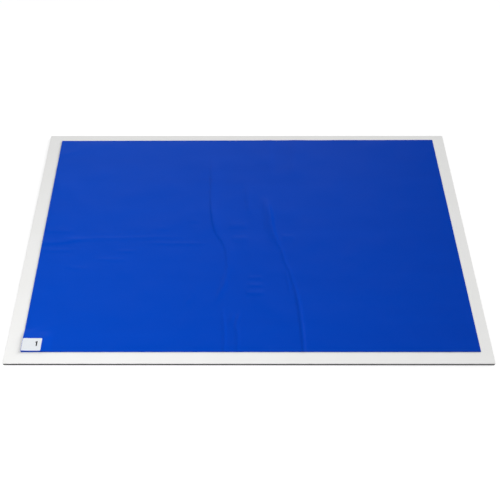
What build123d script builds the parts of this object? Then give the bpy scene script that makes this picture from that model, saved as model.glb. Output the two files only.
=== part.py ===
from build123d import *
import os

# Cleanroom sticky mat on its base board, lying flat. Millimetres, +Z up.
# The origin is on the floor, under the middle of the board. X runs along the long side,
# and the numbered tabs are at the corner on the -X, -Y side.

# Film sheet
sheet_length = 900.0
sheet_depth = 600.0
sheet_count = 30
film_thickness = 0.045
release_gap = 0.005  # between one sheet and what lies over it, so that each can be peeled off

# Numbered tab on the corner of each sheet
tab_length = 38.0
tab_depth = 28.5
tab_thickness = 0.06
tab_corner_radius = 1.0
tab_side_inset = 0.5  # from the sheet's short side
tab_front_inset = 1.5  # from the sheet's long side

# Drape of a sheet over the tabs under it
drape_margin = 1.0  # level film around a tab, before the film slopes down
drape_run = 14.0  # length of that slope

# Base board
side_border = 30.0  # board that shows at each short side of a centred sheet
end_border = 22.5  # board that shows at each long side of a centred sheet
board_thickness = 2.0
board_corner_radius = 3.0
board_edge_radius = 0.5

# Foam backing, cut flush with the board
backing_thickness = 4.5

# How the sheets were laid down on the board: from its middle, and not quite square to it
pad_shift_x = 2.5
pad_shift_y = 3.5
pad_turn = 0.15  # degrees, counterclockwise from above

# Worked out from the above
board_length = sheet_length + 2 * side_border
board_depth = sheet_depth + 2 * end_border
board_top = backing_thickness + board_thickness
sheet_right, sheet_back = sheet_length / 2, sheet_depth / 2
sheet_left, sheet_front = -sheet_right, -sheet_back
sheet_pitch = film_thickness + release_gap
tab_left = sheet_left + tab_side_inset
tab_front = sheet_front + tab_front_inset
level_right = tab_left + tab_length + drape_margin
level_back = tab_front + tab_depth + drape_margin
slope_right = level_right + drape_run
slope_back = level_back + drape_run


def board_outline(thickness, underside):
    """A plate with the board's outline, from the height of its underside up."""
    outline = RectangleRounded(board_length, board_depth, board_corner_radius)
    return extrude(Pos(0, 0, underside) * outline, thickness)


def grip_backing():
    """The foam sheet that keeps the board from sliding on the floor."""
    return board_outline(backing_thickness, 0)


def base_board():
    """The rigid white board, with its upper edge rounded."""
    board = board_outline(board_thickness, backing_thickness)
    top_face = board.faces().sort_by(Axis.Z)[-1]
    return fillet(top_face.edges(), board_edge_radius)


def laid_on_board(shape):
    """A piece made round the middle of the sheets, moved to where the sheets lie."""
    return Pos(pad_shift_x, pad_shift_y, 0) * Rot(0, 0, pad_turn) * shape


def film_panel(*corners):
    """One flat stretch of film: its underside's corners, and the film's thickness above them."""
    underside = make_face(Polyline(*corners, close=True))
    return extrude(underside, film_thickness, dir=(0, 0, 1))


def sheet_underside(number_below):
    """Height of a sheet's flat underside, with so many sheets below it."""
    return board_top + number_below * sheet_pitch


def sheet_rise(number_below):
    """How far the tabs below lift the sheet's corner above its flat part."""
    return number_below * tab_thickness


def film_sheet(number_below):
    """One sheet: flat, but level over the tabs below it, and sloped down around them on two sides."""
    low = sheet_underside(number_below)
    high = low + sheet_rise(number_below)
    flat = film_panel(
        (slope_right, sheet_front, low),
        (sheet_right, sheet_front, low),
        (sheet_right, sheet_back, low),
        (sheet_left, sheet_back, low),
        (sheet_left, slope_back, low),
        (slope_right, slope_back, low),
    )
    level = film_panel(
        (sheet_left, sheet_front, high),
        (level_right, sheet_front, high),
        (level_right, level_back, high),
        (sheet_left, level_back, high),
    )
    side_slope = film_panel(
        (level_right, sheet_front, high),
        (slope_right, sheet_front, low),
        (slope_right, slope_back, low),
        (level_right, level_back, high),
    )
    back_slope = film_panel(
        (sheet_left, level_back, high),
        (level_right, level_back, high),
        (slope_right, slope_back, low),
        (sheet_left, slope_back, low),
    )
    return laid_on_board(flat + level + side_slope + back_slope)


def number_tab(number_below):
    """The tab that lies on the level corner of the sheet with so many sheets below it."""
    underside = sheet_underside(number_below) + sheet_rise(number_below) + film_thickness
    middle = Pos(tab_left + tab_length / 2, tab_front + tab_depth / 2, underside)
    outline = RectangleRounded(tab_length, tab_depth, tab_corner_radius)
    return laid_on_board(extrude(middle * outline, tab_thickness))


def as_one_node(pieces):
    """Several separate solids in one compound."""
    return Compound(children=[solid for piece in pieces for solid in piece.solids()])


top_index = sheet_count - 1
nodes = {
    "grip_backing": grip_backing(),
    "base_board": base_board(),
    "sheet_stack": as_one_node(film_sheet(i) for i in range(top_index)),
    "tab_stack": as_one_node(number_tab(i) for i in range(top_index)),
    "top_sheet": film_sheet(top_index),
    "top_tab": number_tab(top_index),
}

os.makedirs("parts", exist_ok=True)
for name, shape in nodes.items():
    export_step(shape, f"parts/{name}.step")
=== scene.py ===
"""A cleanroom sticky mat on its base board: film sheets with numbered tabs, lying flat."""

import logging
import math
from dataclasses import dataclass, field
from enum import Enum

import bmesh
import bpy
import numpy as np
from mathutils import Matrix, Vector


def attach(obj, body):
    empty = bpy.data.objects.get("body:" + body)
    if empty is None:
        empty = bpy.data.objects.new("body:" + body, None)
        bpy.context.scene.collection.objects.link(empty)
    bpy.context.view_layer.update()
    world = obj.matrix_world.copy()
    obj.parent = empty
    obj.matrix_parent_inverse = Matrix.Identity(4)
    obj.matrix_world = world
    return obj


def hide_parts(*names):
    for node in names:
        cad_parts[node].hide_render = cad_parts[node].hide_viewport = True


LOG = logging.getLogger("sticky_mat")
MM = 0.001
BODY = "root"

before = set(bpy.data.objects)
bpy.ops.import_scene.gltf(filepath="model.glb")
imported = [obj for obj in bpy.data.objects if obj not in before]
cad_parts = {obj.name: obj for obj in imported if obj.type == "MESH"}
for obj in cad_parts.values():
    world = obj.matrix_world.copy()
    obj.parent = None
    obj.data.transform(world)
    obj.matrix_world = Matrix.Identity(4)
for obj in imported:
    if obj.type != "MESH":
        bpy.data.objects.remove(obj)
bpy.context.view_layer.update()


class Slot(Enum):
    """The record's material slots."""

    BOARD = "board_white"
    BACKING = "backing_foam"
    FILM = "film_blue"
    TAB = "tab_white"
    INK = "tab_ink"


def linear(hex_colour: str) -> tuple[float, float, float, float]:
    """Turns an sRGB hex colour to the linear colour that shaders work in.

    Args:
        hex_colour: Six hex digits after a hash sign.

    Returns:
        Red, green, blue and an alpha of 1.
    """
    parts = [int(hex_colour[i:i + 2], 16) / 255 for i in (1, 3, 5)]
    red, green, blue = (v / 12.92 if v <= 0.04045 else ((v + 0.055) / 1.055) ** 2.4 for v in parts)
    return red, green, blue, 1.0


def add_node(
    tree: bpy.types.NodeTree, kind: str, links: dict | None = None, **settings: object
) -> bpy.types.Node:
    """Adds a node to a tree with its settings, and links or sets its inputs.

    Args:
        tree: The shader or geometry tree.
        kind: The node's type name.
        links: Input name or number to a value, or to the output socket that feeds it.
        settings: Attributes of the node, such as its operation.

    Returns:
        The new node.
    """
    node = tree.nodes.new(kind)
    for name, value in settings.items():
        setattr(node, name, value)
    for key, value in (links or {}).items():
        socket = node.inputs[key]
        if isinstance(value, bpy.types.NodeSocket):
            tree.links.new(value, socket)
        else:
            socket.default_value = value
    return node


# Finishes


def new_material(name: str) -> tuple[bpy.types.Material, bpy.types.NodeTree, bpy.types.Node]:
    """Makes a material that holds one Principled shader.

    Args:
        name: The material's name.

    Returns:
        The material, its node tree and the shader.
    """
    material = bpy.data.materials.new(name)
    material.use_nodes = True
    tree = material.node_tree
    tree.nodes.clear()
    shader = add_node(tree, "ShaderNodeBsdfPrincipled")
    add_node(tree, "ShaderNodeOutputMaterial", {"Surface": shader.outputs[0]})
    return material, tree, shader


# Most of a noise's values lie between these two.
NOISE_ENDS = (0.3, 0.7)


def uneven(
    tree: bpy.types.NodeTree,
    size_mm: float,
    stretch: tuple[float, float, float] = (1.0, 1.0, 1.0),
    detail: float = 2.0,
) -> bpy.types.NodeSocket:
    """Adds an uneven pattern on the piece's own coordinates.

    Args:
        tree: The material's tree.
        size_mm: The real size of one blotch, in millimetres.
        stretch: How many times longer the blotches are along X, Y and Z.
        detail: How many finer layers the pattern has.

    Returns:
        The pattern's value, about 0.5 on average.
    """
    place = add_node(tree, "ShaderNodeTexCoord").outputs["Object"]
    scale = tuple(1 / s for s in stretch)
    mapped = add_node(tree, "ShaderNodeMapping", {"Vector": place, "Scale": scale}).outputs[0]
    links = {"Vector": mapped, "Scale": 1 / (size_mm * MM), "Detail": detail}
    return add_node(tree, "ShaderNodeTexNoise", links).outputs[0]


def vary(
    tree: bpy.types.NodeTree,
    shader: bpy.types.Node,
    pattern: bpy.types.NodeSocket,
    colours: tuple[str, str] | None = None,
    roughness: tuple[float, float] | None = None,
    relief_mm: float = 0.0,
    ends: tuple[float, float] = NOISE_ENDS,
) -> None:
    """Lets one pattern vary a shader's colour, its roughness and its relief.

    Args:
        tree: The material's tree.
        shader: Its shader.
        pattern: The pattern's value.
        colours: The hex colours at the pattern's two ends.
        roughness: The roughness at the two ends.
        relief_mm: The height of the relief that it makes, on top of what the shader has so far.
        ends: The pattern's values that count as its ends.
    """
    span = {"Value": pattern, "From Min": ends[0], "From Max": ends[1]}
    if colours:
        share = add_node(tree, "ShaderNodeMapRange", span).outputs[0]
        links = {0: share, 6: linear(colours[0]), 7: linear(colours[1])}
        colour = add_node(tree, "ShaderNodeMix", links, data_type="RGBA").outputs[2]
        tree.links.new(colour, shader.inputs["Base Color"])
    if roughness:
        links = span | {"To Min": roughness[0], "To Max": roughness[1]}
        tree.links.new(add_node(tree, "ShaderNodeMapRange", links).outputs[0], shader.inputs["Roughness"])
    if relief_mm:
        links = {"Height": pattern, "Distance": relief_mm * MM}
        for link in shader.inputs["Normal"].links:
            links["Normal"] = link.from_socket
        tree.links.new(add_node(tree, "ShaderNodeBump", links).outputs[0], shader.inputs["Normal"])


@dataclass(frozen=True)
class PolyethyleneFilm:
    """Blown low-density polyethylene, dyed through, with a clear acrylic tack coat.

    The blown film gives faint lengthwise bands, and the coat a soft, slightly uneven gloss. Its colour is
    also painted darker towards +X, as painted shade for the lamps' falloff across the mat.
    """

    colour: str = "#0049C7"
    shaded_colour: str = "#003EB4"
    # Painted shade: the colour darkens across the film, from this X to this X, where the lamps give less
    # light.
    least_shade_mm: float = -450.0
    most_shade_mm: float = 450.0
    # The bands make this share of that change.
    band_share: float = 0.12
    band_mm: float = 34.0
    band_stretch: tuple[float, float, float] = (14.0, 1.0, 1.0)
    roughness: tuple[float, float] = (0.14, 0.18)
    coat_blotch_mm: float = 9.0
    coat_relief_mm: float = 0.004
    gauge_blotch_mm: float = 46.0
    gauge_stretch: tuple[float, float, float] = (1.0, 1.6, 1.0)
    gauge_relief_mm: float = 0.12
    ior: float = 1.5

    def build(self) -> bpy.types.Material:
        """Makes the material.

        Returns:
            The material.
        """
        material, tree, shader = new_material("blue_polyethylene_film")
        place = add_node(tree, "ShaderNodeTexCoord").outputs["Object"]
        across = add_node(tree, "ShaderNodeSeparateXYZ", {0: place}).outputs["X"]
        # Painted shade: the colour goes darker towards +X, standing in for the lamps' falloff.
        depth = add_node(tree, "ShaderNodeMapRange", {
            "Value": across, "From Min": self.least_shade_mm * MM, "From Max": self.most_shade_mm * MM,
            "To Max": 1.0 - self.band_share,
        }).outputs[0]
        bands = add_node(tree, "ShaderNodeMapRange", {
            "Value": uneven(tree, self.band_mm, self.band_stretch),
            "From Min": NOISE_ENDS[0], "From Max": NOISE_ENDS[1], "To Max": self.band_share,
        }).outputs[0]
        # The painted shade and the random bands together set the colour.
        shade_and_bands = add_node(tree, "ShaderNodeMath", {0: depth, 1: bands}, operation="ADD").outputs[0]
        gauge = uneven(tree, self.gauge_blotch_mm, self.gauge_stretch, detail=1.0)
        coat = uneven(tree, self.coat_blotch_mm)
        vary(tree, shader, shade_and_bands, (self.colour, self.shaded_colour), ends=(0.0, 1.0))
        vary(tree, shader, gauge, relief_mm=self.gauge_relief_mm)
        vary(tree, shader, coat, roughness=self.roughness, relief_mm=self.coat_relief_mm)
        shader.inputs["IOR"].default_value = self.ior
        return material


@dataclass(frozen=True)
class PolystyreneSheet:
    """Extruded high-impact polystyrene, white through and calendered to a satin face.

    The rolls leave a fine grain, and handling leaves faint smoother patches.
    """

    colour: str = "#F4F4F3"
    worn_colour: str = "#F1F1EF"
    patch_mm: float = 60.0
    # Real grain is about 0.3 mm, too fine to show, so it is drawn coarser.
    grain_mm: float = 0.9
    grain_relief_mm: float = 0.012
    roughness: tuple[float, float] = (0.42, 0.54)
    ior: float = 1.55

    def build(self) -> bpy.types.Material:
        """Makes the material.

        Returns:
            The material.
        """
        material, tree, shader = new_material("white_polystyrene_sheet")
        patches = uneven(tree, self.patch_mm, detail=4.0)
        vary(tree, shader, patches, (self.colour, self.worn_colour), self.roughness)
        vary(tree, shader, uneven(tree, self.grain_mm), relief_mm=self.grain_relief_mm)
        shader.inputs["IOR"].default_value = self.ior
        return material


@dataclass(frozen=True)
class FoamRubber:
    """Closed-cell foam rubber, cut from a sheet, so its faces show open cells.

    Cut cells give a dull, pitted, near-black face, with painted shade darkening the pits.
    """

    colour: str = "#1F1F20"
    # Painted shade: the cells' pits are coloured darker than their walls.
    pit_shade_colour: str = "#0F0F10"
    # Real cells are about 0.4 mm, too fine to show, so they are drawn coarser.
    cell_mm: float = 1.1
    # From a cell's middle, in cells: where its pit ends, and where its wall is at its highest.
    pit_edge: float = 0.15
    wall_top: float = 0.6
    cell_relief_mm: float = 0.18
    roughness: float = 0.88
    ior: float = 1.52

    def build(self) -> bpy.types.Material:
        """Makes the material.

        Returns:
            The material.
        """
        material, tree, shader = new_material("black_foam_rubber")
        place = add_node(tree, "ShaderNodeTexCoord").outputs["Object"]
        cells = add_node(tree, "ShaderNodeTexVoronoi", {"Vector": place, "Scale": 1 / (self.cell_mm * MM)})
        links = {"Value": cells.outputs["Distance"], "From Min": self.pit_edge, "From Max": self.wall_top}
        wall = add_node(tree, "ShaderNodeMapRange", links).outputs[0]
        # Painted shade in the pits, laid on the same pattern as the cells' relief.
        colours = (self.pit_shade_colour, self.colour)
        vary(tree, shader, wall, colours, relief_mm=self.cell_relief_mm, ends=(0.0, 1.0))
        shader.inputs["Roughness"].default_value = self.roughness
        shader.inputs["IOR"].default_value = self.ior
        return material


@dataclass(frozen=True)
class CoatedLabel:
    """Clay-coated paper label stock: bright white, smooth, with the fibres just showing through."""

    colour: str = "#E7EBEF"
    fibre_colour: str = "#E1E5EA"
    # Real fibres are about 0.05 mm wide, too fine to show, so they are drawn coarser.
    fibre_mm: float = 0.5
    fibre_stretch: tuple[float, float, float] = (5.0, 1.0, 1.0)
    fibre_relief_mm: float = 0.006
    roughness: tuple[float, float] = (0.38, 0.5)

    def build(self) -> bpy.types.Material:
        """Makes the material.

        Returns:
            The material.
        """
        material, tree, shader = new_material("white_coated_label")
        fibres = uneven(tree, self.fibre_mm, self.fibre_stretch, detail=3.0)
        vary(tree, shader, fibres, (self.colour, self.fibre_colour), self.roughness, self.fibre_relief_mm)
        return material


@dataclass(frozen=True)
class PrintingInk:
    """Black flexographic ink: a thin, slightly glossy film, a little uneven at the edges of its dots."""

    colour: str = "#0C0C10"
    thin_colour: str = "#18181D"
    blotch_mm: float = 0.8
    roughness: float = 0.42

    def build(self) -> bpy.types.Material:
        """Makes the material.

        Returns:
            The material.
        """
        material, tree, shader = new_material("black_printing_ink")
        vary(tree, shader, uneven(tree, self.blotch_mm), (self.colour, self.thin_colour))
        shader.inputs["Roughness"].default_value = self.roughness
        return material


# Pieces


@dataclass
class PadPlace:
    """Where the sheets lie on the board, read from the top sheet's solid."""

    node: str = "top_sheet"
    length: float = 0.0
    depth: float = 0.0
    turn: float = 0.0
    centre: Vector = field(default_factory=Vector)
    film_base: float = 0.0
    film_top: float = 0.0
    corner_top: float = 0.0
    level_right: float = 0.0
    level_back: float = 0.0
    run: float = 0.0
    # How many times longer than the solids' flat slope the film's rounded one is.
    drape_looseness: float = 1.6

    def __post_init__(self) -> None:
        """Finds the sheet's corners, and from them its size, its turn and its heights."""
        points = [v.co.copy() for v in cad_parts[self.node].data.vertices]
        front_left = min(points, key=lambda p: p.x + p.y)
        front_right = max(points, key=lambda p: p.x - p.y)
        back_right = max(points, key=lambda p: p.x + p.y)
        back_left = min(points, key=lambda p: p.x - p.y)
        along = front_right.xy - front_left.xy
        self.length = along.length
        self.depth = (back_left.xy - front_left.xy).length
        self.turn = math.atan2(along.y, along.x)
        self.centre = (front_left + back_right) / 2
        self.centre.z = 0.0
        heights = sorted(p.z for p in points if (p.xy - back_right.xy).length < MM)
        self.film_base, self.film_top = heights[0], heights[-1]
        self.corner_top = max(p.z for p in points)
        to_pad = self.matrix().inverted()
        level = [to_pad @ p for p in points if p.z > self.corner_top - self.thickness / 2]
        self.level_right, self.level_back = max(p.x for p in level), max(p.y for p in level)
        front = [to_pad @ p for p in points if (to_pad @ p).y < -self.depth / 2 + MM]
        self.run = min(p.x for p in front if p.x > self.level_right + MM) - self.level_right

    @property
    def corners(self) -> tuple[tuple[float, float], tuple[float, float]]:
        """The sheet's left front and right back corners, in its own frame."""
        return (-self.length / 2, -self.depth / 2), (self.length / 2, self.depth / 2)

    @property
    def thickness(self) -> float:
        """The film's thickness."""
        return self.film_top - self.film_base

    @property
    def rise(self) -> float:
        """How far the tabs below lift the sheet's corner."""
        return self.corner_top - self.film_top

    def matrix(self) -> Matrix:
        """The move from the sheets' own frame, round their middle, to where they lie on the board."""
        return Matrix.Translation(self.centre) @ Matrix.Rotation(self.turn, 4, "Z")

    def inputs(self) -> dict[str, object]:
        """Gives the measures that the pieces' trees take, by name.

        Returns:
            Input name to value.
        """
        return {
            "Thickness": self.thickness, "Level Right": self.level_right, "Level Back": self.level_back,
            "Run": self.run * self.drape_looseness, "Place": tuple(self.centre), "Turn": self.turn,
        }


def new_object(name: str, data: bpy.types.ID) -> bpy.types.Object:
    """Links a new object to the scene.

    Args:
        name: The object's name.
        data: Its mesh, curve, light or camera.

    Returns:
        The object.
    """
    obj = bpy.data.objects.new(name, data)
    bpy.context.scene.collection.objects.link(obj)
    return obj


def mount(obj: bpy.types.Object, slot: Slot, *nodes: str) -> bpy.types.Object:
    """Rides a finished piece on the mat, hides the nodes that it stands for, and logs its slot.

    Args:
        obj: The piece.
        slot: The record's slot of its finish, which is only logged.
        nodes: CAD nodes that the piece replaces.

    Returns:
        The piece.
    """
    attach(obj, BODY)
    if nodes:
        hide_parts(*nodes)
    triangles = sum(len(p.vertices) - 2 for p in obj.data.polygons)
    LOG.info("%s: %d triangles, slot %s", obj.name, triangles, slot.value)
    return obj


class Socket(Enum):
    """What an input or output of a Geometry Nodes tree carries."""

    FLOAT = "NodeSocketFloat"
    WHOLE = "NodeSocketInt"
    VECTOR = "NodeSocketVector"
    OBJECT = "NodeSocketObject"
    GEOMETRY = "NodeSocketGeometry"
    MATERIAL = "NodeSocketMaterial"


# What the tree of every piece takes.
PIECE_INPUTS = {
    "Geometry": Socket.GEOMETRY, "Thickness": Socket.FLOAT, "Place": Socket.VECTOR, "Turn": Socket.FLOAT,
    "Finish": Socket.MATERIAL,
}


def new_geometry_tree(
    name: str, inputs: dict[str, Socket], outputs: dict[str, Socket]
) -> tuple[bpy.types.NodeTree, dict[str, bpy.types.NodeSocket], bpy.types.Node]:
    """Makes a Geometry Nodes tree with named inputs and outputs.

    Args:
        name: The tree's name.
        inputs: Input name to what it carries.
        outputs: Output name to what it carries.

    Returns:
        The tree, its inputs by name as output sockets, and its Group Output node.
    """
    tree = bpy.data.node_groups.new(name, "GeometryNodeTree")
    for label, kind in inputs.items():
        tree.interface.new_socket(label, in_out="INPUT", socket_type=kind.value)
    for label, kind in outputs.items():
        tree.interface.new_socket(label, in_out="OUTPUT", socket_type=kind.value)
    entry = add_node(tree, "NodeGroupInput")
    leave = add_node(tree, "NodeGroupOutput")
    return tree, {label: entry.outputs[label] for label in inputs}, leave


# Faces that meet at more than this angle keep a sharp edge.
SHARP_ANGLE = math.radians(40)


def shape_by_tree(
    obj: bpy.types.Object, tree: bpy.types.NodeTree, values: dict[str, object]
) -> bpy.types.Object:
    """Runs a Geometry Nodes tree on an object, and keeps what it makes as a plain mesh.

    Args:
        obj: The object that the tree starts from.
        tree: The tree.
        values: Input name to value. A name that the tree doesn't have is left out.

    Returns:
        The same object, with no modifier left.
    """
    modifier = obj.modifiers.new(tree.name, "NODES")
    modifier.node_group = tree
    for socket in tree.interface.items_tree:
        if socket.item_type == "SOCKET" and socket.in_out == "INPUT" and socket.name in values:
            modifier[socket.identifier] = values[socket.name]
    bpy.context.view_layer.update()
    graph = bpy.context.evaluated_depsgraph_get()
    made = bpy.data.meshes.new_from_object(obj.evaluated_get(graph), depsgraph=graph)
    obj.modifiers.clear()
    obj.data = made
    made.name = obj.name
    made.set_sharp_from_angle(angle=SHARP_ANGLE)
    return obj


def scale_by(
    tree: bpy.types.NodeTree, height: bpy.types.NodeSocket, *shares: float | bpy.types.NodeSocket
) -> bpy.types.NodeSocket:
    """Scales a height by one share after the other.

    Args:
        tree: The Geometry Nodes tree.
        height: The height.
        shares: Numbers or output sockets that it is multiplied by.

    Returns:
        What is left of the height.
    """
    for share in shares:
        height = add_node(tree, "ShaderNodeMath", {0: height, 1: share}, operation="MULTIPLY").outputs[0]
    return height


def pile_up(tree: bpy.types.NodeTree, *rises: bpy.types.NodeSocket) -> bpy.types.NodeSocket:
    """Puts one rise of the film on top of the other.

    Args:
        tree: The Geometry Nodes tree.
        rises: The rises.

    Returns:
        The height of them all.
    """
    height = rises[0]
    for rise in rises[1:]:
        height = add_node(tree, "ShaderNodeMath", {0: height, 1: rise}, operation="ADD").outputs[0]
    return height


def falls(tree: bpy.types.NodeTree, *spans: tuple) -> list[bpy.types.NodeSocket]:
    """Adds falls from 1 to 0, each smooth over its own span.

    Args:
        tree: The Geometry Nodes tree.
        spans: For each fall, the value that it follows, where it starts and where it ends.

    Returns:
        The share that is left of each.
    """
    return [
        add_node(
            tree, "ShaderNodeMapRange",
            {"Value": value, "From Min": start, "From Max": end, "To Min": 1.0, "To Max": 0.0},
            interpolation_type="SMOOTHSTEP",
        ).outputs[0]
        for value, start, end in spans
    ]


def drape(
    tree: bpy.types.NodeTree, given: dict[str, bpy.types.NodeSocket], *rise: bpy.types.NodeSocket
) -> bpy.types.NodeSocket:
    """Adds a sheet's rise over the tabs below: level round them, then falling on two sides.

    Args:
        tree: The sheet's Geometry Nodes tree.
        given: Its inputs by name.
        rise: The factors of the rise over the tabs.

    Returns:
        The rise at a point of the sheet.
    """
    position = add_node(tree, "GeometryNodeInputPosition").outputs[0]
    parts = add_node(tree, "ShaderNodeSeparateXYZ", {0: position})
    spans = []
    for axis, level in (("X", "Level Right"), ("Y", "Level Back")):
        links = {0: given[level], 1: given["Run"]}
        end = add_node(tree, "ShaderNodeMath", links, operation="ADD").outputs[0]
        spans.append((parts.outputs[axis], given[level], end))
    return scale_by(tree, *rise, *falls(tree, *spans))


# The seams' doubles lie exactly on each other, so a small share of the thickness finds them.
SEAM_SHARE = 0.02


def close_shell(
    tree: bpy.types.NodeTree, surface: bpy.types.NodeSocket, thickness: bpy.types.NodeSocket
) -> bpy.types.NodeSocket:
    """Gives an open surface its thickness upwards, with its underside and its edges.

    Args:
        tree: The Geometry Nodes tree.
        surface: The surface's geometry.
        thickness: The thickness.

    Returns:
        The closed geometry.
    """
    up = add_node(tree, "ShaderNodeCombineXYZ", {"Z": 1.0}).outputs[0]
    links = {"Mesh": surface, "Offset": up, "Offset Scale": thickness, "Individual": False}
    raised = add_node(tree, "GeometryNodeExtrudeMesh", links, mode="FACES").outputs["Mesh"]
    underside = add_node(tree, "GeometryNodeFlipFaces", {"Mesh": surface}).outputs[0]
    both = add_node(tree, "GeometryNodeJoinGeometry")
    tree.links.new(underside, both.inputs[0])
    tree.links.new(raised, both.inputs[0])
    apart = add_node(tree, "ShaderNodeMath", {0: thickness, 1: SEAM_SHARE}, operation="MULTIPLY").outputs[0]
    links = {"Geometry": both.outputs[0], "Distance": apart}
    return add_node(tree, "GeometryNodeMergeByDistance", links).outputs[0]


def lay_on_board(
    tree: bpy.types.NodeTree, shape: bpy.types.NodeSocket, given: dict[str, bpy.types.NodeSocket]
) -> bpy.types.NodeSocket:
    """Moves a shape from the sheets' own frame to where they lie on the board.

    Args:
        tree: The Geometry Nodes tree.
        shape: The shape's geometry.
        given: The tree's inputs by name, with Place and Turn.

    Returns:
        The moved geometry.
    """
    turn = add_node(tree, "ShaderNodeCombineXYZ", {"Z": given["Turn"]}).outputs[0]
    links = {"Geometry": shape, "Translation": given["Place"], "Rotation": turn}
    return add_node(tree, "GeometryNodeTransform", links).outputs[0]


def finish_tree(
    tree: bpy.types.NodeTree,
    shape: bpy.types.NodeSocket,
    finish: bpy.types.NodeSocket,
    leave: bpy.types.Node,
) -> None:
    """Ends a tree with realized instances, smooth faces and the piece's material.

    Args:
        tree: The Geometry Nodes tree.
        shape: The geometry so far.
        finish: The material input.
        leave: The tree's Group Output node.
    """
    real = add_node(tree, "GeometryNodeRealizeInstances", {0: shape}).outputs[0]
    links = {"Geometry": real, "Shade Smooth": True}
    smooth = add_node(tree, "GeometryNodeSetShadeSmooth", links).outputs[0]
    links = {"Geometry": smooth, "Material": finish}
    dressed = add_node(tree, "GeometryNodeSetMaterial", links).outputs[0]
    tree.links.new(dressed, leave.inputs["Geometry"])


@dataclass(frozen=True)
class Spacing:
    """How far apart a grid's lines lie along one side: a step in millimetres at each named place."""

    places: tuple[float, ...]
    steps: tuple[float, ...]

    def lines(self, start: float, end: float) -> np.ndarray:
        """Works out the lines from one edge to the other.

        Args:
            start: The first line's place, in metres.
            end: The last line's place, in metres.

        Returns:
            The places of all the lines, in metres.
        """
        made = [start / MM]
        while made[-1] < end / MM:
            made.append(made[-1] + float(np.interp(made[-1], self.places, self.steps)))
        lines = np.array(made) - start / MM
        return start + lines * (end - start) / lines[-1]


def flat_grid(
    name: str, columns: Spacing, rows: Spacing, low: tuple[float, float], high: tuple[float, float]
) -> bpy.types.Mesh:
    """Makes a flat mesh of rectangles.

    Args:
        name: The mesh's name.
        columns: How far apart its lines are along X.
        rows: How far apart its lines are along Y.
        low: Its left front corner.
        high: Its right back corner.

    Returns:
        The mesh, at height 0 and facing up.
    """
    across, along = np.meshgrid(columns.lines(low[0], high[0]), rows.lines(low[1], high[1]))
    depth, width = across.shape
    points = np.stack([across.ravel(), along.ravel(), np.zeros(across.size)], axis=1)
    first = (np.arange(depth - 1)[:, None] * width + np.arange(width - 1)).ravel()
    faces = np.stack([first, first + 1, first + 1 + width, first + width], axis=1)
    mesh = bpy.data.meshes.new(name)
    mesh.from_pydata(points.tolist(), [], faces.tolist())
    return mesh


@dataclass(frozen=True)
class Creep:
    """How far the pad's four corners have crept outwards under feet, in millimetres along X and Y.

    A point between the corners moves by the mean of their moves, weighed by how near they are.
    """

    front_left: tuple[float, float] = (-1.5, 0.9)
    front_right: tuple[float, float] = (2.3, -0.8)
    back_right: tuple[float, float] = (0.8, 1.5)
    back_left: tuple[float, float] = (-1.3, 0.4)

    def move(
        self, tree: bpy.types.NodeTree, shape: bpy.types.NodeSocket, pad: PadPlace
    ) -> bpy.types.NodeSocket:
        """Adds the nodes that move a piece with the sheets.

        Args:
            tree: The Geometry Nodes tree.
            shape: The piece's geometry, in the sheets' own frame.
            pad: Where the sheets lie.

        Returns:
            The moved geometry.
        """
        position = add_node(tree, "GeometryNodeInputPosition").outputs[0]
        parts = add_node(tree, "ShaderNodeSeparateXYZ", {0: position})
        share_right, share_back = (
            add_node(
                tree, "ShaderNodeMapRange",
                {"Value": parts.outputs[axis], "From Min": -size / 2, "From Max": size / 2},
            ).outputs[0]
            for axis, size in (("X", pad.length), ("Y", pad.depth))
        )
        front, back = (
            add_node(
                tree, "ShaderNodeMix",
                {0: share_right, 4: (left[0] * MM, left[1] * MM, 0), 5: (right[0] * MM, right[1] * MM, 0)},
                data_type="VECTOR",
            ).outputs[1]
            for left, right in ((self.front_left, self.front_right), (self.back_left, self.back_right))
        )
        links = {0: share_back, 4: front, 5: back}
        move = add_node(tree, "ShaderNodeMix", links, data_type="VECTOR").outputs[1]
        return add_node(tree, "GeometryNodeSetPosition", {"Geometry": shape, "Offset": move}).outputs[0]


@dataclass(frozen=True)
class Crease:
    """A ridge in the film, along a path in millimetres from the board's middle.

    The path's first and last points lie past the film's edge where the ridge runs off it.
    """

    name: str
    path: tuple[tuple[float, float], ...]
    height: float
    left: float
    right: float
    fade_in: float = 0.25
    fade_out: float = 0.25


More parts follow.
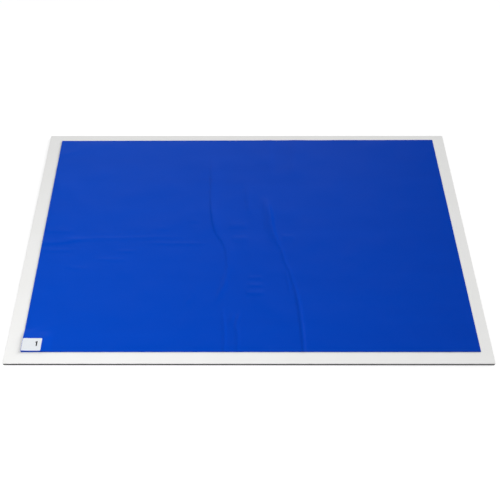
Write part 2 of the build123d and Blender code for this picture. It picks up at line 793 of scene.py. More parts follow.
# The film's creases, as they lie on this mat.
CREASES = (
    Crease(
        "main_ridge_far",
        ((37, 123), (44, 95), (50, 65), (53, 29), (59, -3), (67, -23), (73, -42)),
        height=1.5, left=6.5, right=11, fade_in=0.36, fade_out=0.4,
    ),
    Crease(
        "main_ridge",
        ((53, 29), (64, -17), (73, -42), (78, -67), (83, -84), (88, -100), (92, -121),
         (97, -142), (100, -162), (102, -182), (104, -202), (105, -222), (106, -246),
         (107, -269), (107, -295), (106, -306)),
        height=0.7, left=4.8, right=3.4, fade_in=0.3, fade_out=0,
    ),
    Crease(
        "main_ridge_near",
        ((92, -121), (97, -142), (100, -162), (102, -182), (104, -202), (105, -222), (106, -246),
         (107, -269), (107, -295), (106, -306)),
        height=0.8, left=5.2, right=2.7, fade_in=0.35, fade_out=0,
    ),
    Crease(
        "ridge_companion",
        ((79, -89), (83, -121), (85, -147), (87, -167)),
        height=0.45, left=2.8, right=2.8, fade_in=0.4, fade_out=0.4,
    ),
    Crease(
        "second_ridge",
        ((-85, 271), (-82, 183), (-82, 145), (-82, 107), (-80, 71), (-77, 47), (-73, 23),
         (-66, 3), (-56, -14), (-48, -37), (-45, -62), (-43, -89), (-42, -121)),
        height=0.75, left=16, right=3.3, fade_in=0.3, fade_out=0.12,
    ),
    Crease(
        "second_ridge_middle",
        ((-82, 113), (-80, 71), (-77, 47), (-73, 23), (-67, 6)),
        height=0.38, left=9, right=2.6, fade_in=0.35, fade_out=0.3,
    ),
    Crease(
        "second_hook",
        ((-47, -73), (-45, -100), (-48, -123), (-56, -151), (-66, -175), (-72, -190)),
        height=1, left=6, right=6, fade_in=0.48, fade_out=0.48,
    ),
    Crease(
        "half_fold",
        ((-401, -10), (-368, -9), (-324, -7), (-280, -6), (-214, -4), (-148, -4), (-94, -6)),
        height=0.26, left=3.8, right=7, fade_in=0.08, fade_out=0.5,
    ),
    Crease(
        "fold_end_upper",
        ((-453, -20), (-432, -20), (-410, -19), (-385, -14), (-359, -10), (-337, -6)),
        height=0.5, left=10, right=5.5, fade_in=0, fade_out=0.45,
    ),
    Crease(
        "fold_end_lower",
        ((-451, -40), (-424, -41), (-398, -41), (-372, -40), (-355, -38)),
        height=0.325, left=5, right=5, fade_in=0, fade_out=0.5,
    ),
    Crease(
        "fold_end_beyond",
        ((-446, 14), (-419, 14), (-392, 12), (-370, 11)),
        height=0.3, left=9, right=5, fade_in=0, fade_out=0.4,
    ),
    Crease(
        "fold_lower_right",
        ((-235, -21), (-202, -21), (-159, -22), (-115, -22), (-71, -22)),
        height=0.258, left=5, right=4.5, fade_in=0.3, fade_out=0.3,
    ),
    Crease(
        "near_dash",
        ((-30, -200), (-32, -212), (-34, -224), (-37, -239)),
        height=0.5, left=3, right=6, fade_in=0.4, fade_out=0.4,
    ),
    Crease(
        "near_crease_left",
        ((-54, -172), (-52, -202), (-49, -234), (-48, -270), (-48, -295), (-48, -306)),
        height=0.9, left=3.2, right=4.2, fade_in=0.5, fade_out=0,
    ),
    Crease(
        "near_crease_right",
        ((-19, -195), (-20, -210), (-23, -224), (-25, -239), (-23, -253), (-22, -272),
         (-22, -295), (-22, -306)),
        height=0.75, left=4.2, right=3.6, fade_in=0.25, fade_out=0,
    ),
    Crease(
        "dash_far",
        ((-4, -115), (15, -115), (34, -115)),
        height=0.28, left=4.4, right=4.4, fade_in=0.25, fade_out=0.25,
    ),
    Crease(
        "dash_middle",
        ((-4, -134), (17, -135), (35, -135)),
        height=0.35, left=4.4, right=4.4, fade_in=0.25, fade_out=0.25,
    ),
    Crease(
        "dash_near",
        ((-9, -154), (14, -155), (37, -154)),
        height=0.39, left=6, right=5, fade_in=0.25, fade_out=0.25,
    ),
    Crease(
        "far_swell_left",
        ((54, 320), (54, 271), (55, 220), (56, 154)),
        height=0.5, left=9, right=20, fade_in=0, fade_out=0.5,
    ),
    Crease(
        "far_swell_right",
        ((116, 320), (114, 271), (109, 210), (104, 138)),
        height=0.45, left=20, right=10, fade_in=0, fade_out=0.5,
    ),
    Crease(
        "dimple",
        ((-130, -186), (-123, -172), (-117, -160)),
        height=0.4, left=3, right=3, fade_in=0.5, fade_out=0.5,
    ),
    Crease(
        "shoulder",
        ((-2, 158), (1, 113), (5, 59)),
        height=0.45, left=7, right=6, fade_in=0.3, fade_out=0.3,
    ),
    Crease(
        "fold_far_upper",
        ((-48, 29), (-21, 29), (6, 27)),
        height=0.42, left=10, right=6.5, fade_in=0.3, fade_out=0.3,
    ),
    Crease(
        "fold_far_lower",
        ((-43, -7), (-17, -7), (7, -6)),
        height=0.36, left=6.5, right=11, fade_in=0.3, fade_out=0.3,
    ),
    Crease(
        "right_step",
        ((71, 0), (89, -2), (111, -3)),
        height=0.3, left=5, right=10, fade_in=0.25, fade_out=0.5,
    ),
    Crease(
        "left_ripple_far",
        ((-283, -43), (-261, -44), (-240, -44)),
        height=0.297, left=4, right=4, fade_in=0.25, fade_out=0.25,
    ),
    Crease(
        "left_ripple_middle",
        ((-333, -65), (-307, -66), (-279, -67), (-253, -67)),
        height=0.24, left=5, right=4.5, fade_in=0.25, fade_out=0.25,
    ),
    Crease(
        "left_ripple_near",
        ((-394, -83), (-366, -90), (-332, -91)),
        height=0.238, left=5, right=5, fade_in=0.3, fade_out=0.3,
    ),
    Crease(
        "upper_ripple_left",
        ((-203, 23), (-187, 23), (-172, 23)),
        height=0.3, left=4.5, right=7, fade_in=0.3, fade_out=0.3,
    ),
    Crease(
        "upper_ripple_far",
        ((-135, 44), (-119, 44), (-101, 44)),
        height=0.35, left=5, right=4.5, fade_in=0.3, fade_out=0.3,
    ),
    Crease(
        "upper_ripple_near",
        ((-134, 25), (-119, 25), (-103, 25)),
        height=0.2, left=4, right=3.5, fade_in=0.3, fade_out=0.3,
    ),
    Crease(
        "far_left_streak",
        ((-470, 252), (-436, 257), (-405, 270), (-378, 286)),
        height=0.5, left=4.5, right=6.5, fade_in=0, fade_out=0.7,
    ),
    Crease(
        "tab_streak",
        ((-470, -262), (-437, -251), (-402, -240), (-362, -227)),
        height=0.5, left=4.5, right=7, fade_in=0, fade_out=0.8,
    ),
    Crease(
        "right_spot",
        ((216, -40), (218, -57), (219, -74)),
        height=0.3, left=6, right=6, fade_in=0.5, fade_out=0.5,
    ),
    Crease(
        "far_right_streak",
        ((470, 262), (425, 266), (380, 274)),
        height=0.35, left=4, right=6, fade_in=0, fade_out=0.8,
    ),
)


# A crease that runs off the film's edge has no fade there, and this keeps its range above zero.
SHORTEST_FADE = 1e-4


def crease_tree() -> bpy.types.NodeTree:
    """Makes the node group that gives a film point's rise over one crease.

    Returns:
        The group, which is used once for each crease.
    """
    sizes = ("Height", "Left Width", "Right Width", "Fade In", "Fade Out", "Step")
    inputs = {"Path": Socket.OBJECT} | {name: Socket.FLOAT for name in sizes}
    tree, given, leave = new_geometry_tree("crease_rise", inputs, {"Rise": Socket.FLOAT})
    path = add_node(tree, "GeometryNodeObjectInfo", {"Object": given["Path"]}, transform_space="ORIGINAL")
    links = {"Curve": path.outputs["Geometry"], "Length": given["Step"]}
    fine = add_node(tree, "GeometryNodeResampleCurve", links, mode="LENGTH").outputs[0]
    points = add_node(tree, "GeometryNodeCurveToMesh", {"Curve": fine}).outputs[0]
    nearest = add_node(tree, "GeometryNodeSampleNearest", {"Geometry": points}, domain="POINT").outputs[0]
    place = add_node(tree, "GeometryNodeInputPosition").outputs[0]
    along = add_node(tree, "GeometryNodeInputTangent").outputs[0]
    travelled = add_node(tree, "GeometryNodeSplineParameter").outputs["Factor"]
    on_path, tangent, share = (
        add_node(
            tree, "GeometryNodeSampleIndex", {"Geometry": fine, "Value": value, "Index": nearest},
            data_type=data_type, domain="POINT",
        ).outputs[0]
        for value, data_type in ((place, "FLOAT_VECTOR"), (along, "FLOAT_VECTOR"), (travelled, "FLOAT"))
    )
    away = add_node(tree, "ShaderNodeVectorMath", {0: place, 1: on_path}, operation="SUBTRACT").outputs[0]
    links = {0: tangent, 1: (0, 0, 1)}
    side = add_node(tree, "ShaderNodeVectorMath", links, operation="CROSS_PRODUCT").outputs[0]
    links = {0: away, 1: side}
    signed = add_node(tree, "ShaderNodeVectorMath", links, operation="DOT_PRODUCT").outputs["Value"]
    to_right = add_node(tree, "ShaderNodeMath", {0: signed, 1: 0.0}, operation="GREATER_THAN").outputs[0]
    links = {0: to_right, 2: given["Left Width"], 3: given["Right Width"]}
    width = add_node(tree, "ShaderNodeMix", links, data_type="FLOAT").outputs[0]
    reach = add_node(tree, "ShaderNodeMath", {0: signed, 1: width}, operation="DIVIDE").outputs[0]
    power = scale_by(tree, reach, reach, -1.0)
    bell = add_node(tree, "ShaderNodeMath", {0: power}, operation="EXPONENT").outputs[0]
    to_end = add_node(tree, "ShaderNodeMath", {0: 1.0, 1: share}, operation="SUBTRACT").outputs[0]
    ends = []
    for from_end, fade in ((share, "Fade In"), (to_end, "Fade Out")):
        links = {0: given[fade], 1: SHORTEST_FADE}
        over = add_node(tree, "ShaderNodeMath", links, operation="MAXIMUM").outputs[0]
        links = {"Value": from_end, "From Max": over}
        ends.append(add_node(tree, "ShaderNodeMapRange", links, interpolation_type="SMOOTHSTEP").outputs[0])
    rise = scale_by(tree, bell, scale_by(tree, *ends), given["Height"])
    tree.links.new(rise, leave.inputs["Rise"])
    return tree


@dataclass
class TopSheet:
    """The film sheet on top: creased, a little loose at its edges, and draped over the tabs below it."""

    pad: PadPlace
    finish: bpy.types.Material
    creases: tuple[Crease, ...] = CREASES
    creep: Creep = Creep()
    # The lines lie closer where the film is creased and where it is draped over the tabs.
    columns: Spacing = Spacing(
        (-450, -385, -370, -150, -135, -96, 128, 145, 450),
        (2.2, 2.2, 8.0, 8.0, 3.2, 1.75, 1.75, 8.0, 8.5),
    )
    rows: Spacing = Spacing(
        (-300, -225, -200, -36, -30, 10, 24, 300),
        (2.4, 2.4, 2.7, 2.7, 1.8, 1.8, 6.0, 6.2),
    )
    # The short side's edge beside the tab: its lift at the back and at the front, how far in from the
    # edge the lift reaches, and over how far it fades behind the tabs.
    back_lift: float = 0.8 * MM
    front_lift: float = 0.4 * MM
    lift_reach: float = 17 * MM
    lift_fall: float = 30 * MM
    # Each noise starts to lift the film at the first of its ends, and lifts it fully at the second.
    unevenness: float = 0.5 * MM
    unevenness_size: float = 85 * MM
    unevenness_ends: tuple[float, float] = (0.35, 0.75)
    edge_lift: float = 0.3 * MM
    edge_band: float = 14 * MM
    edge_wave: float = 70 * MM
    edge_wave_ends: tuple[float, float] = (0.5, 0.8)
    path_step: float = 2 * MM
    path_smoothness: int = 16

    def build(self) -> bpy.types.Object:
        """Makes the sheet.

        Returns:
            The sheet as one plain mesh.
        """
        pad = self.pad
        film = new_object("top_film", flat_grid("top_film", self.columns, self.rows, *pad.corners))
        paths = [self.path(crease) for crease in self.creases]
        shape_by_tree(film, self.tree(paths), pad.inputs() | {
            "Base": pad.film_base, "Rise": pad.rise, "Back Lift": self.back_lift,
            "Front Lift": self.front_lift, "Unevenness": self.unevenness, "Edge Lift": self.edge_lift,
            "Finish": self.finish,
        })
        for path in paths:
            bpy.data.objects.remove(path)
        return film

    def path(self, crease: Crease) -> bpy.types.Object:
        """Makes a crease's path as a smooth curve in the sheets' own frame.

        Args:
            crease: The crease.

        Returns:
            The curve's object.
        """
        curve = bpy.data.curves.new(crease.name, "CURVE")
        curve.dimensions = "3D"
        curve.resolution_u = self.path_smoothness
        line = curve.splines.new("BEZIER")
        line.bezier_points.add(len(crease.path) - 1)
        to_pad = self.pad.matrix().inverted()
        for point, (x, y) in zip(line.bezier_points, crease.path):
            point.co = to_pad @ Vector((x * MM, y * MM, 0))
            point.handle_left_type = point.handle_right_type = "AUTO"
        return new_object(crease.name, curve)

    def tree(self, paths: list[bpy.types.Object]) -> bpy.types.NodeTree:
        """Makes the Geometry Nodes tree that shapes the sheet.

        Args:
            paths: The creases' curves, in the order of the creases.

        Returns:
            The tree.
        """
        sizes = (
            "Base", "Rise", "Level Right", "Level Back", "Run", "Back Lift", "Front Lift", "Unevenness",
            "Edge Lift",
        )
        inputs = PIECE_INPUTS | {name: Socket.FLOAT for name in sizes}
        tree, given, leave = new_geometry_tree("creased_film", inputs, {"Geometry": Socket.GEOMETRY})
        height = pile_up(
            tree, given["Base"], drape(tree, given, given["Rise"]), self.corner_lift(tree, given),
            self.slack(tree, given), *self.ridges(tree, paths),
        )
        offset = add_node(tree, "ShaderNodeCombineXYZ", {"Z": height}).outputs[0]
        links = {"Geometry": given["Geometry"], "Offset": offset}
        shaped = add_node(tree, "GeometryNodeSetPosition", links).outputs[0]
        closed = close_shell(tree, self.creep.move(tree, shaped, self.pad), given["Thickness"])
        finish_tree(tree, lay_on_board(tree, closed, given), given["Finish"], leave)
        return tree

    def corner_lift(
        self, tree: bpy.types.NodeTree, given: dict[str, bpy.types.NodeSocket]
    ) -> bpy.types.NodeSocket:
        """Adds the lift of the short side's edge beside the tab, where fingers have tried it.

        Args:
            tree: The sheet's tree.
            given: Its inputs by name.

        Returns:
            The lift at a point of the sheet.
        """
        position = add_node(tree, "GeometryNodeInputPosition").outputs[0]
        parts = add_node(tree, "ShaderNodeSeparateXYZ", {0: position})
        (left, front), level_back = self.pad.corners[0], self.pad.level_back
        beside, beyond, towards_front = falls(
            tree,
            (parts.outputs["X"], left, left + self.lift_reach),
            (parts.outputs["Y"], level_back, level_back + self.lift_fall),
            (parts.outputs["Y"], front, level_back),
        )
        links = {0: towards_front, 2: given["Back Lift"], 3: given["Front Lift"]}
        lift = add_node(tree, "ShaderNodeMix", links, data_type="FLOAT").outputs[0]
        return scale_by(tree, lift, beside, beyond)

    def slack(
        self, tree: bpy.types.NodeTree, given: dict[str, bpy.types.NodeSocket]
    ) -> bpy.types.NodeSocket:
        """Adds low broad swells where the film isn't pressed down, and small lifts along its edges.

        Args:
            tree: The sheet's tree.
            given: Its inputs by name.

        Returns:
            The rise at a point of the sheet.
        """
        position = add_node(tree, "GeometryNodeInputPosition").outputs[0]
        parts = add_node(tree, "ShaderNodeSeparateXYZ", {0: position})
        inwards = []
        for axis, size in (("X", self.pad.length), ("Y", self.pad.depth)):
            links = {0: parts.outputs[axis]}
            out = add_node(tree, "ShaderNodeMath", links, operation="ABSOLUTE").outputs[0]
            links = {0: size / 2, 1: out}
            inwards.append(add_node(tree, "ShaderNodeMath", links, operation="SUBTRACT").outputs[0])
        links = {0: inwards[0], 1: inwards[1]}
        from_edge = add_node(tree, "ShaderNodeMath", links, operation="MINIMUM").outputs[0]
        edge = falls(tree, (from_edge, 0.0, self.edge_band))[0]
        inner = add_node(tree, "ShaderNodeMath", {0: 1.0, 1: edge}, operation="SUBTRACT").outputs[0]
        rises = []
        for size, detail, ends, where, height in (
            (self.unevenness_size, 1.0, self.unevenness_ends, inner, given["Unevenness"]),
            (self.edge_wave, 0.0, self.edge_wave_ends, edge, given["Edge Lift"]),
        ):
            links = {"Vector": position, "Scale": 1 / size, "Detail": detail}
            noise = add_node(tree, "ShaderNodeTexNoise", links).outputs[0]
            links = {"Value": noise, "From Min": ends[0], "From Max": ends[1]}
            share = add_node(tree, "ShaderNodeMapRange", links, interpolation_type="SMOOTHSTEP").outputs[0]
            rises.append(scale_by(tree, share, where, height))
        return pile_up(tree, *rises)

    def ridges(self, tree: bpy.types.NodeTree, paths: list[bpy.types.Object]) -> list[bpy.types.NodeSocket]:
        """Adds the creases.

        Args:
            tree: The sheet's tree.
            paths: The creases' curves, in the order of the creases.

        Returns:
            The rise over each crease at a point of the sheet.
        """
        group = crease_tree()
        return [
            add_node(tree, "GeometryNodeGroup", {
                "Path": path, "Height": crease.height * MM, "Left Width": crease.left * MM,
                "Right Width": crease.right * MM, "Fade In": crease.fade_in, "Fade Out": crease.fade_out,
                "Step": self.path_step,
            }, node_tree=group).outputs["Rise"]
            for crease, path in zip(self.creases, paths)
        ]


@dataclass
class SheetStack:
    """The film sheets under the top one, each draped over the tabs below it."""

    pad: PadPlace
    finish: bpy.types.Material
    node: str = "sheet_stack"
    creep: Creep = Creep()
    # The lines lie closer where the sheets are draped over the tabs.
    columns: Spacing = Spacing((-450, -415, -380, -355, 450), (9.0, 2.6, 2.6, 60.0, 60.0))
    rows: Spacing = Spacing((-300, -275, -240, -215, 300), (9.0, 2.6, 2.6, 60.0, 60.0))
    strays: float = 0.22 * MM
    seed: int = 7

    def build(self) -> bpy.types.Object:
        """Makes all the sheets.

        Returns:
            The sheets as one plain mesh.
        """
        pad = self.pad
        points = [v.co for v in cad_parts[self.node].data.vertices]
        base = min(p.z for p in points)
        # At the flat end, in millimetres: each sheet's underside and its upper face, from the bottom up.
        heights = sorted({round(p.z / MM, 4) for p in points if p.x > pad.length / 4})
        pitch = pad.thickness + (heights[2] - heights[1]) * MM
        count = round((pad.film_base - base) / pitch)
        sheets = new_object("film_sheets", flat_grid("film_sheets", self.columns, self.rows, *pad.corners))
        shape_by_tree(sheets, self.tree(), pad.inputs() | {
            "Count": count, "Base": base, "Pitch": pitch, "Rise Each": pad.rise / count,
            "Strays": self.strays, "Seed": self.seed, "Finish": self.finish,
        })
        LOG.info("%s: %d sheets", sheets.name, count)
        return sheets

    def tree(self) -> bpy.types.NodeTree:
        """Makes the Geometry Nodes tree that repeats one sheet, and drapes and strays each by its number.

        Returns:
            The tree.
        """
        sizes = ("Base", "Pitch", "Rise Each", "Level Right", "Level Back", "Run", "Strays")
        inputs = PIECE_INPUTS | {"Count": Socket.WHOLE, "Seed": Socket.WHOLE}
        inputs |= {name: Socket.FLOAT for name in sizes}
        tree, given, leave = new_geometry_tree("stacked_sheets", inputs, {"Geometry": Socket.GEOMETRY})
        one = add_node(tree, "GeometryNodeGeometryToInstance", {0: given["Geometry"]}).outputs[0]
        links = {"Geometry": one, "Amount": given["Count"]}
        copies = add_node(tree, "GeometryNodeDuplicateElements", links, domain="INSTANCE")
        number = copies.outputs["Duplicate Index"]
        links = {0: given["Strays"], 1: -1.0}
        stray_back = add_node(tree, "ShaderNodeMath", links, operation="MULTIPLY").outputs[0]
        strays = []
        for axis in range(2):
            links = {0: given["Seed"], 1: float(axis)}
            seed = add_node(tree, "ShaderNodeMath", links, operation="ADD").outputs[0]
            links = {2: stray_back, 3: given["Strays"], "ID": number, "Seed": seed}
            strays.append(add_node(tree, "FunctionNodeRandomValue", links, data_type="FLOAT").outputs[1])
        links = {0: number, 1: given["Pitch"], 2: given["Base"]}
        height = add_node(tree, "ShaderNodeMath", links, operation="MULTIPLY_ADD").outputs[0]
        links = {"X": strays[0], "Y": strays[1], "Z": height}
        move = add_node(tree, "ShaderNodeCombineXYZ", links).outputs[0]
        links = {"Instances": copies.outputs["Geometry"], "Translation": move, "Local Space": False}
        moved = add_node(tree, "GeometryNodeTranslateInstances", links).outputs[0]
        links = {"Geometry": moved, "Name": "sheet_number", "Value": number}
        numbered = add_node(
            tree, "GeometryNodeStoreNamedAttribute", links, data_type="FLOAT", domain="INSTANCE"
        ).outputs[0]
        real = add_node(tree, "GeometryNodeRealizeInstances", {0: numbered}).outputs[0]
        links = {"Name": "sheet_number"}
        own = add_node(tree, "GeometryNodeInputNamedAttribute", links, data_type="FLOAT").outputs[0]
        rise = drape(tree, given, own, given["Rise Each"])
        offset = add_node(tree, "ShaderNodeCombineXYZ", {"Z": rise}).outputs[0]
        draped = add_node(tree, "GeometryNodeSetPosition", {"Geometry": real, "Offset": offset}).outputs[0]
        closed = close_shell(tree, self.creep.move(tree, draped, self.pad), given["Thickness"])
        finish_tree(tree, lay_on_board(tree, closed, given), given["Finish"], leave)
        return tree


@dataclass
class NumberTab:
    """The paper label on the sheet's corner, with a plain printed number."""

    pad: PadPlace
    film: bpy.types.Object
    label_finish: bpy.types.Material
    ink_finish: bpy.types.Material
    node: str = "top_tab"
    creep: Creep = Creep()
    corner_radius: float = 1.0 * MM
    lines: Spacing = Spacing((-40, 40), (1.6, 1.6))
    ink_thickness: float = 0.02 * MM
    # How often the number's triangles are cut finer, so that it can follow the film.
    number_cuts: int = 4
    number_height: float = 11.4 * MM
    number_from_right: float = 11.2 * MM
    number_from_front: float = 10.4 * MM
    # The outline of a plain figure one, in shares of its height, from its foot's left corner round.
    number_outline: tuple[tuple[float, float], ...] = (
        (0.05, 0), (0.28, 0), (0.28, 1), (0.13, 1), (0.07, 0.92), (-0.02, 0.86), (-0.13, 0.82),
        (-0.13, 0.66), (-0.05, 0.69), (0.05, 0.76),
    )
    # The film is looked for from this high above, well over the mat.
    search_height: float = 50 * MM

    def __post_init__(self) -> None:
        """Reads the label's place and size from its solid, in the sheets' own frame."""
        to_pad = self.pad.matrix().inverted()
        points = np.array([to_pad @ v.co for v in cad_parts[self.node].data.vertices])
        self.low, self.high = points.min(0), points.max(0)
        self.thickness = float(self.high[2] - self.low[2])

    def build(self) -> list[bpy.types.Object]:
        """Makes the label and its number, which follow the film.

        Returns:
            The label and the number, each as one plain mesh.
        """
        tree, made = self.tree(), []
        for mesh, cuts, above, thickness, finish in (
            (self.label_mesh(), 0, 0.0, self.thickness, self.label_finish),
            (self.number_mesh(), self.number_cuts, self.thickness, self.ink_thickness, self.ink_finish),
        ):
            values = self.pad.inputs() | {
                "Film": self.film, "Cuts": cuts, "Above Film": above, "Thickness": thickness,
                "From Height": self.search_height, "Finish": finish,
            }
            made.append(shape_by_tree(new_object(mesh.name, mesh), tree, values))
        return made

    def label_mesh(self) -> bpy.types.Mesh:
        """Makes the label's flat grid, with its four corners rounded.

        Returns:
            The mesh.
        """
        mesh = flat_grid("number_label", self.lines, self.lines, self.low[:2], self.high[:2])
        points = np.array([v.co for v in mesh.vertices])
        kept = np.clip(points[:, :2], self.low[:2] + self.corner_radius, self.high[:2] - self.corner_radius)
        out = points[:, :2] - kept
        longest, length = np.abs(out).max(1), np.hypot(out[:, 0], out[:, 1])
        share = np.divide(longest, length, out=np.ones_like(length), where=length > 0)
        points[:, :2] = kept + out * share[:, None]
        mesh.vertices.foreach_set("co", points.ravel())
        return mesh

    def number_mesh(self) -> bpy.types.Mesh:
        """Makes the figure one as flat triangles.

        Returns:
            The mesh.
        """
        right, front = self.high[0] - self.number_from_right, self.low[1] + self.number_from_front
        size = self.number_height
        points = [(right + x * size, front + y * size, 0) for x, y in self.number_outline]
        mesh = bpy.data.meshes.new("printed_number")
        mesh.from_pydata(points, [], [tuple(range(len(points)))])
        shape = bmesh.new()
        shape.from_mesh(mesh)
        bmesh.ops.triangulate(shape, faces=shape.faces[:])
        shape.to_mesh(mesh)
        shape.free()
        return mesh

    def tree(self) -> bpy.types.NodeTree:
        """Makes the Geometry Nodes tree that lays a flat outline on the film and gives it thickness.

        Returns:
            The tree.
        """
        inputs = PIECE_INPUTS | {
            "Film": Socket.OBJECT, "Cuts": Socket.WHOLE, "Above Film": Socket.FLOAT,
            "From Height": Socket.FLOAT,
        }
        tree, given, leave = new_geometry_tree("laid_on_film", inputs, {"Geometry": Socket.GEOMETRY})
        links = {"Mesh": given["Geometry"], "Level": given["Cuts"]}
        fine = add_node(tree, "GeometryNodeSubdivideMesh", links).outputs[0]
        placed = lay_on_board(tree, self.creep.move(tree, fine, self.pad), given)
        film = add_node(tree, "GeometryNodeObjectInfo", {"Object": given["Film"]}).outputs["Geometry"]
        high = add_node(tree, "ShaderNodeCombineXYZ", {"Z": given["From Height"]}).outputs[0]
        place = add_node(tree, "GeometryNodeInputPosition").outputs[0]
        source = add_node(tree, "ShaderNodeVectorMath", {0: place, 1: high}, operation="ADD").outputs[0]
        ray = add_node(tree, "GeometryNodeRaycast", {
            "Target Geometry": film, "Source Position": source, "Ray Direction": (0, 0, -1),
            "Ray Length": given["From Height"],
        })
        above = add_node(tree, "ShaderNodeCombineXYZ", {"Z": given["Above Film"]}).outputs[0]
        links = {0: ray.outputs["Hit Position"], 1: above}
        seat = add_node(tree, "ShaderNodeVectorMath", links, operation="ADD").outputs[0]
        links = {"Geometry": placed, "Position": seat, "Selection": ray.outputs["Is Hit"]}
        laid = add_node(tree, "GeometryNodeSetPosition", links).outputs[0]
        finish_tree(tree, close_shell(tree, laid, given["Thickness"]), given["Finish"], leave)
        return tree


@dataclass
class KeptSolids:
    """The board, its foam backing and the tabs between the sheets, which keep their solids' shapes."""

    finishes: dict[str, tuple[Slot, bpy.types.Material]]

    def dress(self) -> None:
        """Gives each solid its finish."""
        for node, (slot, material) in self.finishes.items():
            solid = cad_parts[node]
            solid.data.materials.clear()
            solid.data.materials.append(material)
            LOG.info("%s: kept, with %s", node, material.name)


@dataclass(frozen=True)
class Softbox:
    """A square lamp. Lengths are in metres."""

    name: str
    place: tuple[float, float, float]
    aim: tuple[float, float, float]
    side: float
    watts: float

    def build(self) -> None:
        """Adds the lamp to the scene."""
        data = bpy.data.lights.new(self.name, "AREA")
        data.shape, data.size, data.energy = "SQUARE", self.side, self.watts
        lamp = new_object(self.name, data)
        lamp.location = self.place
        lamp.rotation_euler = (Vector(self.aim) - Vector(self.place)).to_track_quat("-Z", "Y").to_euler()


@dataclass(frozen=True)
class StudioFloor:
    """A matt floor that shows white to the camera and keeps the mat's shadow. Lengths are in metres."""

    side: float = 30.0
    # Just under the foam, so that the two faces don't fight.
    height: float = -0.02 * MM
    # The shadow shows up to the first distance from the mat's middle, and is gone at the second.
    shadow_ends: tuple[float, float] = (0.75, 1.6)
    # What the floor shows near the mat: a glow of its own, and what it reflects.
    glow: float = 0.72
    shade: float = 0.42
    # How much of the lamps' light it gives back to the mat.
    white: float = 0.8

    def build(self) -> None:
        """Makes the floor."""
        half, z = self.side / 2, self.height
        corners = [(-half, -half, z), (half, -half, z), (half, half, z), (-half, half, z)]
        mesh = bpy.data.meshes.new("floor")
        mesh.from_pydata(corners, [], [(0, 1, 2, 3)])
        mesh.materials.append(self.finish())
        new_object("floor", mesh)

    def finish(self) -> bpy.types.Material:
        """Makes the floor's material.

        Returns:
            The material.
        """
        material = bpy.data.materials.new("pale_floor")
        material.use_nodes = True
        tree = material.node_tree
        tree.nodes.clear()
        place = add_node(tree, "ShaderNodeTexCoord").outputs["Object"]
        distance = add_node(tree, "ShaderNodeVectorMath", {0: place}, operation="LENGTH").outputs["Value"]
        links = {"Value": distance, "From Min": self.shadow_ends[0], "From Max": self.shadow_ends[1]}
        far = add_node(tree, "ShaderNodeMapRange", links, interpolation_type="SMOOTHSTEP").outputs[0]
        bright, glow = (
            add_node(tree, "ShaderNodeEmission", {"Color": (1, 1, 1, 1), "Strength": strength}).outputs[0]
            for strength in (1.0, self.glow)
        )
        shade, real = (
            add_node(tree, "ShaderNodeBsdfDiffuse", {"Color": (grey, grey, grey, 1)}).outputs[0]
            for grey in (self.shade, self.white)
        )
        near = add_node(tree, "ShaderNodeAddShader", {0: glow, 1: shade}).outputs[0]
        seen = add_node(tree, "ShaderNodeMixShader", {0: far, 1: near, 2: bright}).outputs[0]
        rays = add_node(tree, "ShaderNodeLightPath")
        shown = rays.outputs["Is Camera Ray"]
        for kind in ("Is Glossy Ray", "Is Transmission Ray"):
            shown = add_node(
                tree, "ShaderNodeMath", {0: shown, 1: rays.outputs[kind]}, operation="MAXIMUM"
            ).outputs[0]
        surface = add_node(tree, "ShaderNodeMixShader", {0: shown, 1: real, 2: seen}).outputs[0]
        add_node(tree, "ShaderNodeOutputMaterial", {"Surface": surface})
        return material


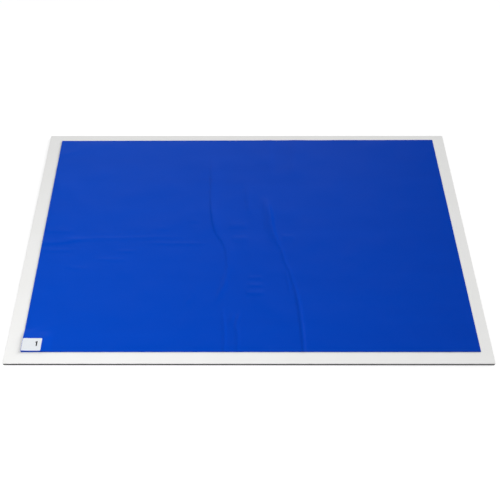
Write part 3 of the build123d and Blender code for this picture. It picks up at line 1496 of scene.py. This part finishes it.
@dataclass(frozen=True)
class StudioWorld:
    """The room round the set: white where it shows, and dimmer as a light.

    Glossy pieces reflect a room that is brightest low down, in front of the set and behind it, and
    darkens towards its ceiling and its sides.
    """

    ambient: float = 0.275
    # The upward part of a ray's direction: the room is brightest up to the first, and dark at the second.
    ceiling_ends: tuple[float, float] = (0.2, 0.87)
    ceiling_power: float = 1.2
    # The sideways part of a ray's direction, from the middle of the bright stretch: it is brightest up
    # to the first, and at the second it has only the least brightness left.
    middle: float = -0.04
    side_ends: tuple[float, float] = (0.1, 0.36)
    side_least: float = 0.1

    def build(self) -> None:
        """Makes the world."""
        world = bpy.data.worlds.new("studio")
        bpy.context.scene.world = world
        world.use_nodes = True
        tree = world.node_tree
        tree.nodes.clear()
        rays = add_node(tree, "ShaderNodeLightPath")
        way = add_node(tree, "ShaderNodeTexCoord").outputs["Generated"]
        parts = add_node(tree, "ShaderNodeSeparateXYZ", {0: way})
        low = add_node(tree, "ShaderNodeMapRange", {
            "Value": parts.outputs["Z"], "From Min": self.ceiling_ends[0], "From Max": self.ceiling_ends[1],
            "To Min": 1.0, "To Max": 0.0,
        }).outputs[0]
        links = {0: low, 1: self.ceiling_power}
        ceiling = add_node(tree, "ShaderNodeMath", links, operation="POWER").outputs[0]
        links = {0: parts.outputs["X"], 1: self.middle}
        across = add_node(tree, "ShaderNodeMath", links, operation="SUBTRACT").outputs[0]
        aside = add_node(tree, "ShaderNodeMath", {0: across}, operation="ABSOLUTE").outputs[0]
        wall = add_node(tree, "ShaderNodeMapRange", {
            "Value": aside, "From Min": self.side_ends[0], "From Max": self.side_ends[1],
            "To Min": 1.0, "To Max": self.side_least,
        }, interpolation_type="SMOOTHSTEP").outputs[0]
        room = add_node(tree, "ShaderNodeMath", {0: ceiling, 1: wall}, operation="MULTIPLY").outputs[0]
        links = {0: rays.outputs["Is Glossy Ray"], 2: self.ambient, 3: room}
        light = add_node(tree, "ShaderNodeMix", links, data_type="FLOAT").outputs[0]
        links = {0: rays.outputs["Is Camera Ray"], 1: rays.outputs["Is Transmission Ray"]}
        seen = add_node(tree, "ShaderNodeMath", links, operation="MAXIMUM").outputs[0]
        links = {0: seen, 2: light, 3: 1.0}
        strength = add_node(tree, "ShaderNodeMix", links, data_type="FLOAT").outputs[0]
        links = {"Color": (1, 1, 1, 1), "Strength": strength}
        back = add_node(tree, "ShaderNodeBackground", links).outputs[0]
        add_node(tree, "ShaderNodeOutputWorld", {"Surface": back})


@dataclass
class Studio:
    """A plain pale floor, soft lamps, and the camera at the photograph's angle."""

    floor: StudioFloor = StudioFloor()
    world: StudioWorld = StudioWorld()
    lamps: tuple[Softbox, ...] = (
        Softbox("key_softbox", (-0.55, -0.7, 1.23), (-0.2, -0.26, 0.0), 0.9, 10.15),
        Softbox("side_softbox", (9.6, 5.0, 5.2), (0.0, 0.0, 0.0), 7.0, 1180.0),
    )
    # The camera was worked out from the mat's corners in a picture this wide.
    frame_width_px: float = 500.0
    focal_px: float = 793.9
    axis_px: float = 236.0
    sensor_mm: float = 36.0
    pitch: float = math.radians(51.0)
    yaw: float = math.radians(-0.197)
    roll: float = math.radians(0.146)
    eye: tuple[float, float, float] = (-0.0217, -1.1222, 1.3448)

    def build(self) -> None:
        """Makes the whole set."""
        self.camera()
        for part in (self.floor, self.world, *self.lamps):
            part.build()
        bpy.context.scene.view_settings.view_transform = "Standard"

    def camera(self) -> None:
        """Sets the camera by its focal length, angles and place."""
        data = bpy.data.cameras.new("camera")
        data.sensor_width = self.sensor_mm
        data.lens = self.focal_px / self.frame_width_px * self.sensor_mm
        data.shift_x = 0.5 - self.axis_px / self.frame_width_px
        ahead, down_tilt = math.cos(self.pitch), math.sin(self.pitch)
        forward = Vector((math.sin(self.yaw) * ahead, math.cos(self.yaw) * ahead, -down_tilt))
        level = Vector((math.cos(self.yaw), -math.sin(self.yaw), 0))
        down = forward.cross(level)
        right = math.cos(self.roll) * level + math.sin(self.roll) * down
        camera = new_object("camera", data)
        axes = Matrix((right, -forward.cross(right), -forward)).transposed().to_4x4()
        camera.matrix_world = Matrix.Translation(self.eye) @ axes
        bpy.context.scene.camera = camera


def main() -> None:
    """Builds the studio and the mat, piece by piece."""
    logging.basicConfig(level=logging.INFO, format="%(name)s: %(message)s")
    Studio().build()
    film_finish = PolyethyleneFilm().build()
    label_finish = CoatedLabel().build()
    pad = PadPlace()
    KeptSolids({
        "base_board": (Slot.BOARD, PolystyreneSheet().build()),
        "grip_backing": (Slot.BACKING, FoamRubber().build()),
        "tab_stack": (Slot.TAB, label_finish),
    }).dress()
    stack = mount(SheetStack(pad, film_finish).build(), Slot.FILM, "sheet_stack")
    film = TopSheet(pad, film_finish).build()
    label, number = NumberTab(pad, film, label_finish, PrintingInk().build()).build()
    mount(film, Slot.FILM, "top_sheet")
    mount(label, Slot.TAB, "top_tab")
    mount(number, Slot.INK)


if __name__ == "__main__":
    main()
